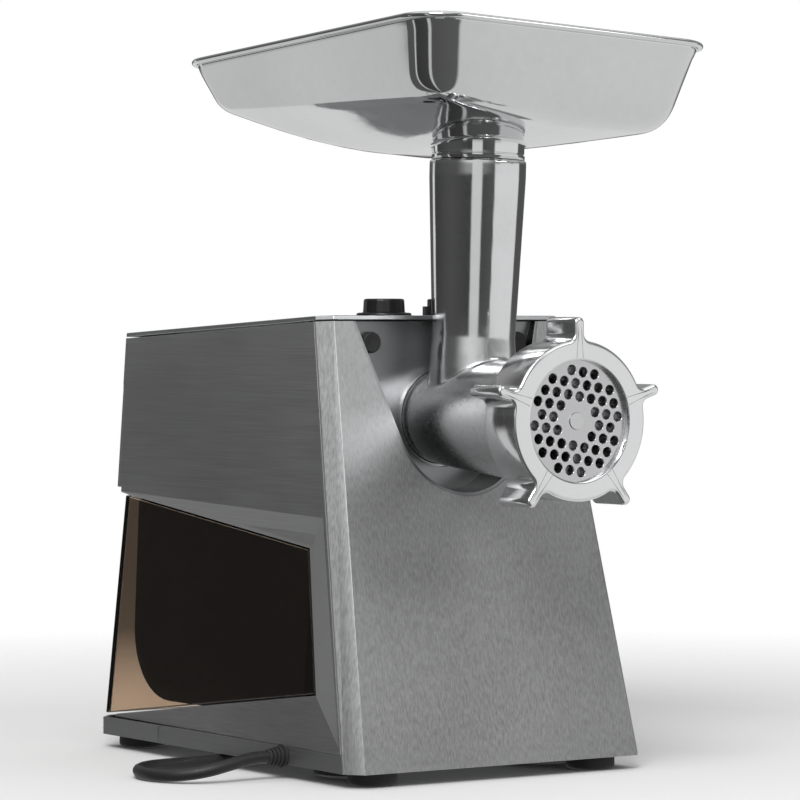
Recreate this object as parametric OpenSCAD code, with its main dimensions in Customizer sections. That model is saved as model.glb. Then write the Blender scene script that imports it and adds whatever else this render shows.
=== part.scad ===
// Electric meat grinder: casing, gear train, removable head, tray and mains lead.
// +Z is up, the front (the cutting plate) faces -Y, and the feet stand on Z = 0.

/* [Casing] */
// Height of the metal casing above its bottom edge
case_h = 222; // [215:1:235]
// Gap between the floor and the casing, filled by the feet
foot_h = 7; // [7:0.5:12]
// Width across the sides at the bottom
base_w = 178.2; // [170:0.1:190]
// Width across the sides at the top
roof_w = 147; // [142:0.5:152]
// Length of the base, front to back
base_l = 251.5; // [245:0.5:262]
// Fall of the roof towards the back
roof_fall = 9; // [0:0.5:12]
// Thickness of the casing sheet
sheet = 1.6; // [1:0.1:2]

/* [Head] */
// Height of the barrel axis above the floor
axis_z = 178; // [176:0.5:180]
// How far the head stands turned in its socket, in degrees
head_turn = 1.75; // [0:0.25:3]
// Diameter of the cutting plate
plate_d = 62; // [60:0.5:63]
// Diameter of one hole in the cutting plate
hole_d = 5; // [3:0.5:5.5]
// Distance between neighbouring plate holes
hole_pitch = 6.87; // [6.5:0.01:6.9]
// Radius of the ring nut over its lugs
lug_r = 50; // [46:0.5:54]

/* [Tray] */
// Width of the tray
tray_w = 172; // [150:1:180]
// Length of the tray
tray_l = 228; // [200:1:240]
// Distance from the feed tube's axis to the tray's front rim
tray_front = 80; // [70:1:90]

/* [Gears] */
// Teeth on both pinions
pinion_teeth = 12; // [12:2:12]
// Teeth on the output gear
output_teeth = 48; // [48:4:48]
// Teeth on the intermediate gear
idler_teeth = 66; // [66:4:66]
// Module of the output stage
module_2 = 1.5; // [1.5:0.1:1.5]
// Module of the motor stage
module_1 = 1; // [1:0.1:1]

/* [Mains lead] */
// Diameter of the cord
cord_d = 6.4; // [6:0.1:6.6]
// Radius of the middle of the coil
coil_r = 35; // [32:1:38]

/* [Hidden] */
$fn = 64;
eps = 0.01;

// Casing levels and outline
roof_z = foot_h + case_h;
roof_y = -75.5;
rear_y = 118;
base_front = -base_l / 2 - 0.65;
base_rear = base_l / 2 - 0.75;
bottom_half = base_w / 2;
top_half = roof_w / 2;
front_bottom_half = 82.2;
front_top_half = 67.3;
side_bottom_y = -117.5;
side_top_y = -67.7;
cover_t = 2.2;
corner_wrap = 1.3;

// Half width of the side plane at height z
function side_x(z) = top_half + (bottom_half - top_half) * (roof_z - z) / case_h;
// Roof height at depth y
function roof_at(y) = roof_z - roof_fall * (y - roof_y) / (rear_y - roof_y);
// Front panel depth at height z
function front_y(z) = roof_y + (base_front - roof_y) * (roof_z - z) / case_h;
// Depth of the edge between corner strip and side
function corner_y(z) = side_top_y + (side_bottom_y - side_top_y) * (roof_z - z) / case_h;

// Recess for the head, seen from the front
recess_r = 39;
recess_flank = 17.8;
recess_floor = -72;
neck_r = 23.5;
socket_r = 23.8;

// Window recess in the sides
window_inset = 5;
pane_t = 2.5;

// Motor and gear axes
idler_z = axis_z - module_2 * (output_teeth + pinion_teeth) / 2;
motor_z = idler_z - module_1 * (idler_teeth + pinion_teeth) / 2;
box_front = -40;
box_split = -22.5;
box_rear = -4;
wall = 3;
latch_travel = 4;

// Head stations along Y
tube_y = -97.7;
ring_face = -189;
plate_face = -186;
plate_t = 8;
barrel_front = plate_face + plate_t;
knife_face = barrel_front + 0.1;
tube_top = 128.3;
middle_shift = -(ring_face + base_rear) / 2;

// Controls
knob_x = 19.4;
knob_y = -48;

// ---------------------------------------------------------------- shared shapes

// Carry a piece back, so that the origin is under the middle of the whole machine
module placed() {
    translate([0, middle_shift, 0]) children();
}

// Stretch a shape drawn in X and Z from depth y0 to depth y1
module along_y(y0, y1) {
    translate([0, y1, 0]) rotate([90, 0, 0]) linear_extrude(y1 - y0) children();
}

// Round bar along Y at height z, between depths y0 and y1
module bar_y(r, y0, y1, z = 0, x = 0, fn = 64) {
    translate([x, y1, z]) rotate([90, 0, 0]) cylinder(r = r, h = y1 - y0, $fn = fn);
}

// Cone along Y at the barrel axis, radius r0 at y0 and r1 at y1
module cone_y(r0, r1, y0, y1, z = 0) {
    translate([0, y1, z]) rotate([90, 0, 0]) cylinder(r1 = r1, r2 = r0, h = y1 - y0);
}

module mirrored() {
    children();
    mirror([1, 0, 0]) children();
}

// Box between two corners
module span(a, b) {
    translate(a) cube(b - a);
}

// Faces of a solid between two rings of n corners, each as triangles
function ring_faces(n) = concat(
    [for (i = [1:n - 2]) [0, i, i + 1]],
    [for (i = [1:n - 2]) [n, n + i + 1, n + i]],
    [for (i = [0:n - 1]) each [[i, n + i, n + (i + 1) % n], [i, n + (i + 1) % n, (i + 1) % n]]]);

// Solid of 8 corners: four at one end, clockwise from outside, then four at the other
module brick(p) {
    polyhedron(points = p, faces = ring_faces(4));
}

// Outside of the casing, drawn in by g
function casing_ring(z, g, fh, sh, fy, sy) = [
    [-fh + g / 2, fy + g, z], [fh - g / 2, fy + g, z],
    [sh - g, sy + g / 2, z], [sh - g, rear_y - g, z],
    [-sh + g, rear_y - g, z], [-sh + g, sy + g / 2, z]
];

module casing_form(g) {
    low = foot_h;
    high = roof_z + 10;
    rise = (high - roof_z) / case_h;
    slope_f = front_bottom_half - front_top_half;
    bottom = casing_ring(low, g, front_bottom_half, bottom_half, base_front, side_bottom_y);
    top = casing_ring(high, g, front_top_half - slope_f * rise, side_x(high),
        front_y(high), corner_y(high));
    difference() {
        polyhedron(points = concat(bottom, top), faces = ring_faces(6));
        roof_cut(g);
    }
}

// Everything above the sloping roof, lowered by g
module roof_cut(g) {
    rotate([90, 0, 90]) translate([0, 0, -150]) linear_extrude(300)
        polygon([[-150, roof_at(-150) - g], [150, roof_at(150) - g], [150, 260], [-150, 260]]);
}

// Recess for the head in X and Z, drawn in by g
module recess_outline(g) {
    r = recess_r - g;
    flank = [for (a = [180 + recess_flank:4:360 - recess_flank]) [r * cos(a), axis_z + r * sin(a)]];
    top_x = r * cos(recess_flank) + (245 - axis_z + r * sin(recess_flank)) * tan(recess_flank);
    polygon(concat([[-top_x, 245]], flank,
        [[r * cos(recess_flank), axis_z - r * sin(recess_flank)], [top_x, 245]]));
}

// Window recess in the left side: outer edge on the side plane, inner edge at the pane.
// Each corner is [depth, height] at the outer edge, then at the inner edge.
window_back = 135;
window_corners = [
    [[window_back, 138.1], [window_back, 136.2]], [[-88.5, 131.4], [-67.5, 113.7]],
    [[-116, 16.1], [-81, 42.1]], [[window_back, 15.6], [window_back, 14.9]]
];

function on_side(c, inset) = [-side_x(c[1]) + inset, c[0], c[1]];

module window_cut(g) {
    outer = [for (c = window_corners) on_side(c[0], -0.6)];
    inner = [for (c = window_corners) on_side(c[1], window_inset + g)];
    grow = [[0, g], [-g, g], [-g, -g], [0, -g]];
    brick(concat(
        [for (i = [0:3]) outer[i] + [0, grow[i][0], grow[i][1]]],
        [for (i = [0:3]) inner[i] + [0, grow[i][0], grow[i][1]]]));
}

// Opening through the window recess, as wide as its inner edge
module window_hole() {
    edge = [for (c = window_corners) c[1]];
    brick(concat([for (c = edge) on_side(c, -3)], [for (c = edge) on_side(c, 30)]));
}

// ---------------------------------------------------------------- casing

// Casing skin between the outside and the inside, with the window recesses pressed in
module skin() {
    difference() {
        casing_form(0);
        mirrored() window_cut(0);
        difference() {
            casing_form(sheet);
            mirrored() window_cut(sheet);
        }
        mirrored() window_hole();
        difference() {
            span([-100, -150, 0], [100, 150, 16]);
            front_room(0);
        }
    }
}

// Room in front of the sides, which the front panel's corner strips just wrap round, g further back
module front_room(g) {
    rotate([90, 0, 90]) translate([corner_wrap + g, 0, -120]) linear_extrude(240)
        polygon([[-160, -20], [corner_y(-20), -20], [corner_y(240), 240], [-160, 240]]);
}

module front_panel() {
    color("silver") placed() difference() {
        intersection() {
            skin_without_roof();
            front_room(0);
        }
        along_y(-150, recess_floor + 2) recess_outline(0);
    }
}

module skin_without_roof() {
    difference() {
        skin();
        roof_cut(cover_t + 0.6);
    }
}

module head_recess() {
    color("dimgray") placed() difference() {
        intersection() {
            along_y(-140, recess_floor + sheet) recess_outline(0);
            casing_form(0.4);
        }
        intersection() {
            along_y(-145, recess_floor) recess_outline(sheet);
            translate([-100, -150, 0]) cube([200, 160, 300]);
        }
        roof_cut(cover_t + 0.6);
        bar_y(25.2, recess_floor - 5, recess_floor + 5, axis_z);
        for (s = [-1, 1]) bar_y(2.6, recess_floor - 5, recess_floor + 5, 215.5, s * 44.5);
    }
}

module left_side_panel() {
    color("#4c4f52") placed() side_panel();
}

module right_side_panel() {
    color("#4c4f52") placed() mirror([1, 0, 0]) side_panel();
}

module side_panel() {
    difference() {
        skin_without_roof();
        front_room(0);
        span([0, -150, 0], [120, 150, 260]);
        span([-76, rear_y - sheet, 0], [10, 140, 260]);
        span([-120, rear_y - 4, 0], [10, 140, 138.1]);
    }
}

module rear_panel() {
    color("#4c4f52") placed() difference() {
        intersection() {
            skin_without_roof();
            span([-76, rear_y - sheet, 138.1], [76, 140, 260]);
        }
        for (x = [-40:10:40]) span([x - 2, 100, 160], [x + 2, 130, 195]);
        for (p = rear_screw_places) bar_y(1.7, 100, 130, p[1], p[0]);
    }
}

rear_screw_places = [[-64, 146], [64, 146], [-62, 208], [62, 208]];

module rear_screws() {
    color("silver") placed() for (p = rear_screw_places) {
        bar_y(3.2, rear_y, rear_y + 1.8, p[1], p[0], 32);
        bar_y(1.65, rear_y - 9, rear_y, p[1], p[0], 24);
    }
}

module top_cover() {
    color("lightgray") placed() difference() {
        intersection() {
            casing_form(0);
            roof_layer(0, cover_t);
        }
        for (s = [-1, 1]) translate([s * knob_x, knob_y, 200]) cylinder(r = 7, h = 40);
    }
}

// Slab under the roof between two depths below it
module roof_layer(a, b) {
    rotate([90, 0, 90]) translate([0, 0, -150]) linear_extrude(300) polygon([
        [-150, roof_at(-150) - b], [150, roof_at(150) - b],
        [150, roof_at(150) - a], [-150, roof_at(-150) - a]
    ]);
}

strip_top = 16;
floor_t = 2;

// Outline of the base, drawn in by g
module base_outline(g) {
    polygon([
        [-front_bottom_half + g, base_front + g], [front_bottom_half - g, base_front + g],
        [bottom_half - g, side_bottom_y + g / 2], [bottom_half - g, base_rear - 8],
        [bottom_half - 8 - g / 2, base_rear - g], [-bottom_half + 8 + g / 2, base_rear - g],
        [-bottom_half + g, base_rear - 8], [-bottom_half + g, side_bottom_y + g / 2]
    ]);
}

post_places = [[-45, -50], [45, -50], [-45, 45], [45, 45]];
foot_places = [[-66, -108], [66, -108], [-70, 108], [70, 108]];
base_gap = 0.1;

// Room for the base: inside the front panel's sheet in front, and as far out as the casing behind
module base_room() {
    difference() {
        casing_form(0);
        front_room(base_gap);
    }
    intersection() {
        casing_form(sheet + base_gap);
        span([-100, -140, foot_h], [100, 0, foot_h + floor_t]);
    }
    span([-100, 60, 0], [100, 140, 20]);
}

module base_plate() {
    color("#5a5d60") placed() difference() {
        union() {
            difference() {
                intersection() {
                    translate([0, 0, foot_h]) linear_extrude(strip_top - foot_h) base_outline(0);
                    base_room();
                }
                translate([0, 0, foot_h + floor_t]) linear_extrude(20) base_outline(2.4);
            }
            for (p = post_places) translate([p[0], p[1], foot_h])
                cylinder(r = 6, h = cover_floor - foot_h);
        }
        for (p = post_places) translate([p[0], p[1], 0]) {
            cylinder(r = 1.7, h = 40);
            cylinder(r = 3.6, h = 11);
        }
        for (p = foot_places) translate([p[0], p[1], 0]) cylinder(r = 3, h = 20);
        gland_hole();
        for (y = [-30:12:42]) span([-24, y, 0], [24, y + 5, 20]);
    }
}

module base_screws() {
    color("silver") placed() for (p = post_places) translate([p[0], p[1], 0]) {
        translate([0, 0, 8.5]) cylinder(r = 3.2, h = 2.5, $fn = 32);
        translate([0, 0, 11]) cylinder(r = 1.65, h = cover_floor - 8, $fn = 24);
    }
}

module rubber_feet() {
    color("#181818") placed() for (p = foot_places) translate([p[0], p[1], 0]) {
        rotate_extrude() polygon([[0, 0], [11, 0], [12.5, 1.5], [12, foot_h], [0, foot_h]]);
        translate([0, 0, foot_h]) cylinder(r = 2.9, h = floor_t + 2);
    }
}

module front_pads() {
    color("#1c1c1c") placed() mirrored() translate([58, -77, 1]) rotate_extrude()
        polygon([[0, 0], [15, 0], [19, 1.6], [19, 3], [10, foot_h - 1], [0, foot_h - 1]]);
}

// Black housing round the motor, with a wide curve at the back of its bottom edge
cover_floor = 28;
cover_rear = 108;
cover_front = -66;
deck_z = 138.4;

module cover_profile(g) {
    r = 40 - g;
    cy = cover_rear - 4 - 40;
    cz = cover_floor + 40;
    polygon(concat(
        [[cover_front + g, 150], [cover_front + g, cover_floor + g]],
        [for (a = [-90:7.5:0]) [cy + r * cos(a), cz + r * sin(a)]],
        [[cover_rear - g, 150]]));
}

// Two rails across the housing that carry the control board
rail_places = [25, 87];

module motor_cover() {
    color("#141414") placed() for (y = rail_places) intersection() {
        span([-100, y - 3, deck_z], [100, y + 3, deck_z + 2]);
        casing_form(11.4);
    }
    color("#141414") placed() difference() {
        union() {
            intersection() {
                rotate([90, 0, 90]) translate([0, 0, -100]) linear_extrude(200) cover_profile(0);
                casing_form(9);
                span([-100, -100, 0], [100, 130, deck_z]);
            }
            intersection() {
                span([-100, cover_front, deck_z], [100, cover_rear + 4, deck_z + 2]);
                casing_form(sheet + 0.3);
            }
        }
        intersection() {
            rotate([90, 0, 90]) translate([0, 0, -100]) linear_extrude(200) cover_profile(2.4);
            casing_form(11.4);
        }
        for (p = post_places) translate([p[0], p[1], 0]) cylinder(r = 1.7, h = 40);
    }
}

// Smoked see-through cover, wrapped round the motor housing and drawn off backwards
module smoked_wall(g) {
    e = [for (i = [0:3]) window_corners[i][1] + [[-9.4, -2.6], [0.7, -0.6], [0.7, 0.6], [-9.4, 0.6]][i]];
    rear = [[117.2 - g, 135.6], [124.6 - g, 17.4]];
    brick([
        on_side([rear[0][0], e[0][1]], window_inset + g), on_side(e[1] + [-g, 0], window_inset + g),
        on_side(e[2] + [-g, 0], window_inset + g), on_side([rear[1][0], 17.2], window_inset + g),
        [eps, rear[0][0], e[0][1]], [eps, e[1][0] - g, e[1][1]],
        [eps, e[2][0] - g, e[2][1]], [eps, rear[1][0], 17.2]
    ]);
}

module smoked_cover() {
    color("#5a4634", 0.6) placed() mirrored() difference() {
        smoked_wall(0);
        smoked_room();
    }
}

// Inside of the smoked cover, open above, below and in front
module smoked_room() {
    top = 160;
    low = 0;
    brick([
        [-side_x(top) + window_inset + pane_t, 113.2, top], [-side_x(top) + window_inset + pane_t, -120, top],
        [-side_x(low) + window_inset + pane_t, -120, low], [-side_x(low) + window_inset + pane_t, 122.6, low],
        [1, 113.2, top], [1, -120, top], [1, -120, low], [1, 122.6, low]
    ]);
}

module screw_caps() {
    color("#202020") placed() for (s = [-1, 1]) {
        bar_y(5.35, recess_floor - 3.8, recess_floor, 215.5, s * 44.5);
        bar_y(2.4, recess_floor, recess_floor + 8, 215.5, s * 44.5, 32);
    }
}

// ---------------------------------------------------------------- gearbox and motor

// Socket that takes the neck of the head
module head_socket() {
    color("#3c3f42") placed() difference() {
        union() {
            bar_y(28, recess_floor + sheet, box_front, axis_z);
            bar_y(36, recess_floor + sheet, recess_floor + sheet + 4, axis_z);
            bar_y(38.5, box_front - 4, box_front, axis_z);
        }
        bar_y(socket_r, recess_floor, box_front + 1, axis_z);
        span([-6, -54, 140], [6, -47, axis_z]);
    }
}

// Outline of the gearbox, grown by g
module gearbox_outline(g) {
    hull() {
        translate([0, axis_z]) circle(r = 39.5 + g);
        translate([0, idler_z]) circle(r = 37 + g);
        translate([0, motor_z]) circle(r = 12 + g);
    }
}

ear_places = [[-43.5, 162], [43.5, 162], [-36, 205], [36, 205], [-27, 98], [27, 98]];

module gearbox_ears() {
    for (p = ear_places) translate(p) circle(r = 5.5, $fn = 32);
}

module gearbox_half(y0, y1, plate0, plate1) {
    difference() {
        union() {
            along_y(y0, y1) gearbox_outline(wall);
            along_y(y0, y1) gearbox_ears();
        }
        difference() {
            along_y(y0 - 1, y1 + 1) gearbox_outline(0);
            along_y(plate0, plate1) translate([-60, 60]) square([120, 180]);
        }
        for (p = ear_places) bar_y(1.7, y0 - 1, y1 + 1, p[1], p[0], 24);
    }
}

module gearbox_front() {
    color("#8c9093") placed() difference() {
        gearbox_half(box_front, box_split, box_front, box_front + 4);
        bar_y(18, box_front - 1, box_front + 5, axis_z);
        bar_y(7, box_front - 1, box_front + 5, idler_z);
    }
}

module gearbox_rear() {
    color("#8c9093") placed() difference() {
        gearbox_half(box_split, box_rear, box_rear - 4, box_rear);
        bar_y(12, box_rear - 5, box_rear + 1, axis_z);
        bar_y(7, box_rear - 5, box_rear + 1, idler_z);
        bar_y(11, box_rear - 5, box_rear + 1, motor_z);
        for (p = bolt_places) bar_y(2, box_rear - 5, box_rear + 1, p[1], p[0], 24);
    }
}

module gearbox_screws() {
    color("silver") placed() for (p = ear_places) {
        bar_y(1.65, box_front + 2, box_rear, p[1], p[0], 24);
        bar_y(3.2, box_rear, box_rear + 2.2, p[1], p[0], 32);
    }
}

hub_r = 14;
shaft_r = 4;
run = 0.05;

// Plain bush along Y
module bush(r_out, r_in, y0, y1, z) {
    difference() {
        bar_y(r_out, y0, y1, z);
        bar_y(r_in, y0 - 1, y1 + 1, z);
    }
}

module output_bushes() {
    color("#b08d57") placed() {
        bush(18, hub_r + run, box_front, box_front + 5, axis_z);
        bush(12, 8 + run, box_rear - 5, box_rear, axis_z);
    }
}

module idler_bushes() {
    color("#b08d57") placed() {
        bush(7, shaft_r + run, box_front, box_front + 5, idler_z);
        bush(7, shaft_r + run, box_rear - 5, box_rear, idler_z);
    }
}

module rotor_bearings() {
    color("silver") placed() {
        bush(11, shaft_r + run, box_rear - 4, box_rear + 2, motor_z);
        bush(11, shaft_r + run, 72, 78, motor_z);
    }
}

// Involute gear as points, one tooth centred on +X
pressure = 25;
backlash = 0.12;
function involute(a) = tan(a) - a * PI / 180;
function tooth_half(r, m, n, rb) =
    90 / n - backlash / (m * n) * 180 / PI
    + (involute(pressure) - involute(acos(min(1, rb / r)))) * 180 / PI;
function on_circle(r, a) = [r * cos(a), r * sin(a)];
function tooth_points(m, n, mid) =
    let (
        rp = m * n / 2, rb = rp * cos(pressure), ro = rp + m, rr = rp - 1.25 * m,
        rs = max(rb, rr), steps = 4,
        radii = [for (i = [0:steps]) rs + (ro - rs) * i / steps]
    ) concat(
        [on_circle(rr, mid - tooth_half(rs, m, n, rb))],
        [for (r = radii) on_circle(r, mid - tooth_half(r, m, n, rb))],
        [for (i = [steps:-1:0]) on_circle(radii[i], mid + tooth_half(radii[i], m, n, rb))],
        [on_circle(rr, mid + tooth_half(rs, m, n, rb))]
    );

module gear_outline(m, n, turn = 0) {
    polygon([for (i = [0:n - 1]) each tooth_points(m, n, turn + i * 360 / n)]);
}

module output_gear() {
    color("#c8c8c8") placed() difference() {
        union() {
            along_y(-30, -20) translate([0, axis_z]) gear_outline(module_2, output_teeth);
            bar_y(hub_r, -45, -20, axis_z);
            bar_y(8, -20, box_rear - 0.5, axis_z);
        }
        bar_y(7.3, -46, -31, axis_z, 0, 6);
        for (a = [0:60:300]) translate([24 * cos(a), 0, axis_z + 24 * sin(a)])
            bar_y(5, -31, -19);
    }
}

module idler_gear() {
    color("#e8e2d0") placed() difference() {
        union() {
            along_y(-17, -11) translate([0, idler_z]) gear_outline(module_1, idler_teeth);
            bar_y(12, -18.5, -17, idler_z);
        }
        bar_y(shaft_r, -20, -10, idler_z);
        for (a = [30:60:330]) translate([21 * cos(a), 0, idler_z + 21 * sin(a)])
            bar_y(5, -18, -10);
    }
}

module idler_shaft() {
    color("#a8a8a8") placed() union() {
        along_y(-31.5, -18.5) translate([0, idler_z])
            gear_outline(module_2, pinion_teeth, 180 / pinion_teeth);
        bar_y(shaft_r, box_front + 0.5, box_rear - 0.5, idler_z);
    }
}

module motor_pinion() {
    color("#b5b5b5") placed() difference() {
        along_y(-18.5, -9.5) translate([0, motor_z]) gear_outline(module_1, pinion_teeth);
        bar_y(shaft_r, -19, -9, motor_z);
    }
}

module rotor_shaft() {
    color("#a8a8a8") placed() bar_y(shaft_r, -20, 82, motor_z);
}

module fan() {
    color("#303030") placed() difference() {
        union() {
            bar_y(10, 4, 14, motor_z);
            for (a = [0:30:330]) translate([0, 0, motor_z]) rotate([0, a, 0])
                span([-0.8, 5, 5], [0.8, 12.5, 29]);
            bar_y(30, 12, 13.5, motor_z);
        }
        bar_y(shaft_r, 0, 20, motor_z);
    }
}

module armature() {
    color("#6e7072") placed() difference() {
        bar_y(21.8, 18, 50, motor_z);
        bar_y(shaft_r, 0, 60, motor_z);
        for (a = [0:30:330]) translate([0, 0, motor_z]) rotate([0, a, 0])
            span([-1.2, 17, 15], [1.2, 51, 23]);
    }
}

module commutator() {
    color("#b87333") placed() difference() {
        bar_y(11, 55, 67, motor_z);
        bar_y(shaft_r, 50, 70, motor_z);
    }
}

bolt_places = [for (a = [45:90:315]) [38.5 * cos(a), motor_z + 38.5 * sin(a)]];

module motor_stator() {
    color("#84878a") placed() difference() {
        union() {
            bar_y(35.5, 17, 51, motor_z);
            for (p = bolt_places) bar_y(4.5, 17, 51, p[1], p[0], 32);
        }
        bar_y(22.4, 10, 60, motor_z);
        for (s = [-1, 1]) span([-17, 10, motor_z + s * 27 - 3.5], [17, 60, motor_z + s * 27 + 3.5]);
        for (p = bolt_places) bar_y(2, 10, 60, p[1], p[0], 24);
    }
}

module field_coils() {
    color("#9c5b2e") placed() for (s = [-1, 1]) difference() {
        span([-16.7, 14.4, motor_z + s * 27 - 3.2], [16.7, 53.6, motor_z + s * 27 + 3.2]);
        span([-12.5, 22, motor_z + s * 27 - 4], [12.5, 46, motor_z + s * 27 + 4]);
    }
}

module motor_bracket() {
    color("#8c9093") placed() difference() {
        union() {
            intersection() {
                bar_y(43.5, 73, 77, motor_z);
                span([-34, 60, motor_z - 34], [34, 90, motor_z + 34]);
            }
            bar_y(14, 71, 79, motor_z);
        }
        bar_y(11, 60, 90, motor_z);
        for (s = [-1, 1]) span([s * 23 - 10.5, 60, motor_z - 6.1], [s * 23 + 10.5, 73.1, motor_z + 6.1]);
        for (p = bolt_places) bar_y(2, 60, 90, p[1], p[0], 24);
        for (s = [-1, 1]) bar_y(7, 60, 90, motor_z, s * 24, 32);
    }
}

module motor_bolts() {
    color("silver") placed() for (p = bolt_places) {
        bar_y(1.95, box_rear - 3, 77, p[1], p[0], 24);
        bar_y(3.8, 77, 80, p[1], p[0], 6);
    }
}

module brush_holders() {
    color("#2a2a2a") placed() for (s = [-1, 1]) difference() {
        span([s > 0 ? 13 : -33, 56, motor_z - 6], [s > 0 ? 33 : -13, 73, motor_z + 6]);
        span([s > 0 ? 12 : -31, 58, motor_z - 3.2], [s > 0 ? 31 : -12, 66, motor_z + 3.2]);
    }
}

module carbon_brushes() {
    color("#3a3a3a") placed() for (s = [-1, 1])
        span([s > 0 ? 11.3 : -27, 58.2, motor_z - 3], [s > 0 ? 27 : -11.3, 65.8, motor_z + 3]);
}

// ---------------------------------------------------------------- controls

knob_base = roof_at(knob_y);

module rotary_switch() {
    color("#2c4a2c") placed() difference() {
        union() {
            span([-knob_x - 7.5, -56, 206], [-knob_x + 7.5, box_front - 4.5, knob_base - 5]);
            translate([-knob_x, knob_y, 218]) cylinder(r = 9, h = 20);
        }
        roof_cut(cover_t);
        translate([-knob_x, knob_y, 214]) cylinder(r = 3 + run, h = 20);
    }
}

module control_knob() {
    color("#141414") placed() translate([-knob_x, knob_y, 0]) {
        translate([0, 0, knob_base + 0.9]) cylinder(r = 14, h = 1.6);
        translate([0, 0, knob_base + 2.5]) cylinder(r1 = 10.6, r2 = 10.1, h = 7.3);
        translate([0, 0, 214.5]) cylinder(r = 3, h = knob_base + 1 - 214.5);
    }
}

cap_gap = 5.5;

module release_button() {
    color("#141414") placed() translate([knob_x, knob_y, 0]) union() {
        translate([0, 0, knob_base + cap_gap]) cylinder(r = 10.2, h = 4.3);
        translate([0, 0, 219]) cylinder(r = 6.5, h = knob_base + cap_gap + 1 - 219);
    }
}

// Fixed ring that the release button slides in
module button_bezel() {
    color("#141414") placed() difference() {
        translate([knob_x, knob_y, knob_base - 3]) cylinder(r = 12.6, h = 9);
        translate([knob_x, knob_y, knob_base - 5]) cylinder(r = 10.6, h = 20);
        roof_layer(0, 20);
    }
}

latch_y0 = -52;
latch_y1 = -49;
nose_r = 24.1;

module latch_plate() {
    color("#9a9da0") placed() along_y(latch_y0, latch_y1) union() {
        intersection() {
            difference() {
                translate([0, axis_z]) circle(r = 38);
                translate([0, axis_z]) circle(r = 32.8);
            }
            translate([0, axis_z]) polygon([[-6, 0], [-6, -60], [60, -60], [60, 60], [34, 60]]);
        }
        translate([-5, axis_z - 38]) square([10, 38 - nose_r]);
        translate([knob_x - 4, axis_z + 29]) square([8, 219 - axis_z - 29]);
    }
}

module latch_spring() {
    color("silver") placed() difference() {
        translate([knob_x, knob_y, knob_base + 0.8]) cylinder(r = 8.7, h = cap_gap - 0.9);
        translate([knob_x, knob_y, 200]) cylinder(r = 7.4, h = 40);
    }
}

board_z = deck_z + 6;

module control_board() {
    color("#1f5a36") placed() difference() {
        span([-32, 20, board_z], [32, 92, board_z + 1.6]);
        for (x = [-27, 27], y = rail_places) translate([x, y, 100]) cylinder(r = 1.6, h = 60);
    }
    color("#1f5a36") placed() for (x = [-27, 27], y = rail_places)
        translate([x, y, deck_z + 2]) cylinder(r = 3, h = board_z - deck_z - 2);
}

module board_parts() {
    t = board_z + 1.6;
    color("#303438") placed() {
        translate([-14, 40, t]) cylinder(r = 8, h = 26);
        translate([12, 38, t]) cylinder(r = 5, h = 14);
        span([-6, 60, t], [18, 80, t + 16]);
        span([-24, 60, t], [-12, 82, t + 9]);
        span([6, 84, t], [24, 90, t + 8]);
    }
}

// ---------------------------------------------------------------- head

// Turn a shape with the head, round the barrel axis
module head_turned() {
    translate([0, 0, axis_z]) rotate([0, head_turn, 0]) children();
}

bore_r = 21.5;

module grinder_head() {
    color("#b4b8bb") placed() head_turned() difference() {
        union() {
            bar_y(neck_r, -76, -46.5);
            cone_y(31.6, 24.4, -158, -76);
            cone_y(34.5, 31.6, -164, -158);
            bar_y(34.5, barrel_front, -164);
            translate([0, tube_y, 0]) cylinder(r1 = 19.1, r2 = 24, h = tube_top);
            intersection() {
                span([-24, -126, -8], [24, -72.2, 34]);
                translate([0, tube_y, -30]) cylinder(r = 24.3, h = 80);
            }
        }
        bar_y(bore_r, -176, -80);
        bar_y(29.5, -179, -171);
        cone_y(29.5, bore_r, -171, -163);
        bar_y(12, -81, -46);
        translate([0, tube_y, 0]) cylinder(r1 = 17, r2 = 21.4, h = tube_top + eps);
        translate([0, tube_y, tube_top - 14]) cylinder(r = 21.4, h = 20);
        difference() {
            bar_y(neck_r + 1, -53.5, -47.5);
            bar_y(neck_r - 3, -54, -47);
        }
    }
}

module auger_bush() {
    color("#e6dcc0") placed() head_turned() bush(12, 8 + run, -78, -47, 0);
}

// Plate holes: a hexagonal field with the middle left solid
plate_tilt = 9.6;
function hex(i, j) = hole_pitch * [i + j / 2, j * sqrt(3) / 2];

module cutting_plate() {
    inner = 1.6 * hole_pitch;
    outer = 3.7 * hole_pitch;
    color("#c9ccce") placed() translate([0, 0, axis_z]) difference() {
        bar_y(plate_d / 2, plate_face, barrel_front);
        bar_y(4 + run, plate_face - 1, barrel_front + 1);
        rotate([0, plate_tilt, 0]) for (i = [-5:5], j = [-5:5]) {
            p = hex(i, j);
            if (norm(p) > inner && norm(p) < outer)
                bar_y(hole_d / 2, plate_face - 1, barrel_front + 1, p[1], p[0], 32);
        }
        rotate([0, -37, 0]) bar_y(2.5, plate_face - 1, barrel_front + 1, plate_d / 2, 0, 32);
    }
}

// Ring nut with five lugs
opening_r = 29.4;
lugs = 5;
ring_r = 38.8;
lug_tip = 3;
lug_fillet = 7;
lug_side = lug_tip + lug_fillet;
lug_out = sqrt((ring_r + lug_fillet) ^ 2 - lug_side ^ 2);
lug_lean = atan2(lug_side, lug_out);

function arc_points(c, r, a, b, n) = [for (i = [0:n]) c + on_circle(r, a + (b - a) * i / n)];

// One lug and its share of the ring's edge, centred on the X axis
function lug_sector() = concat(
    arc_points([0, 0], ring_r, -180 / lugs, -lug_lean, 8),
    arc_points([lug_out, -lug_side], lug_fillet, 172 - lug_lean, 90, 6),
    arc_points([lug_r - lug_tip, 0], lug_tip, -90, 90, 8),
    arc_points([lug_out, lug_side], lug_fillet, -90, lug_lean - 172, 6),
    arc_points([0, 0], ring_r, lug_lean, 160 / lugs, 7)
);

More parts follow.
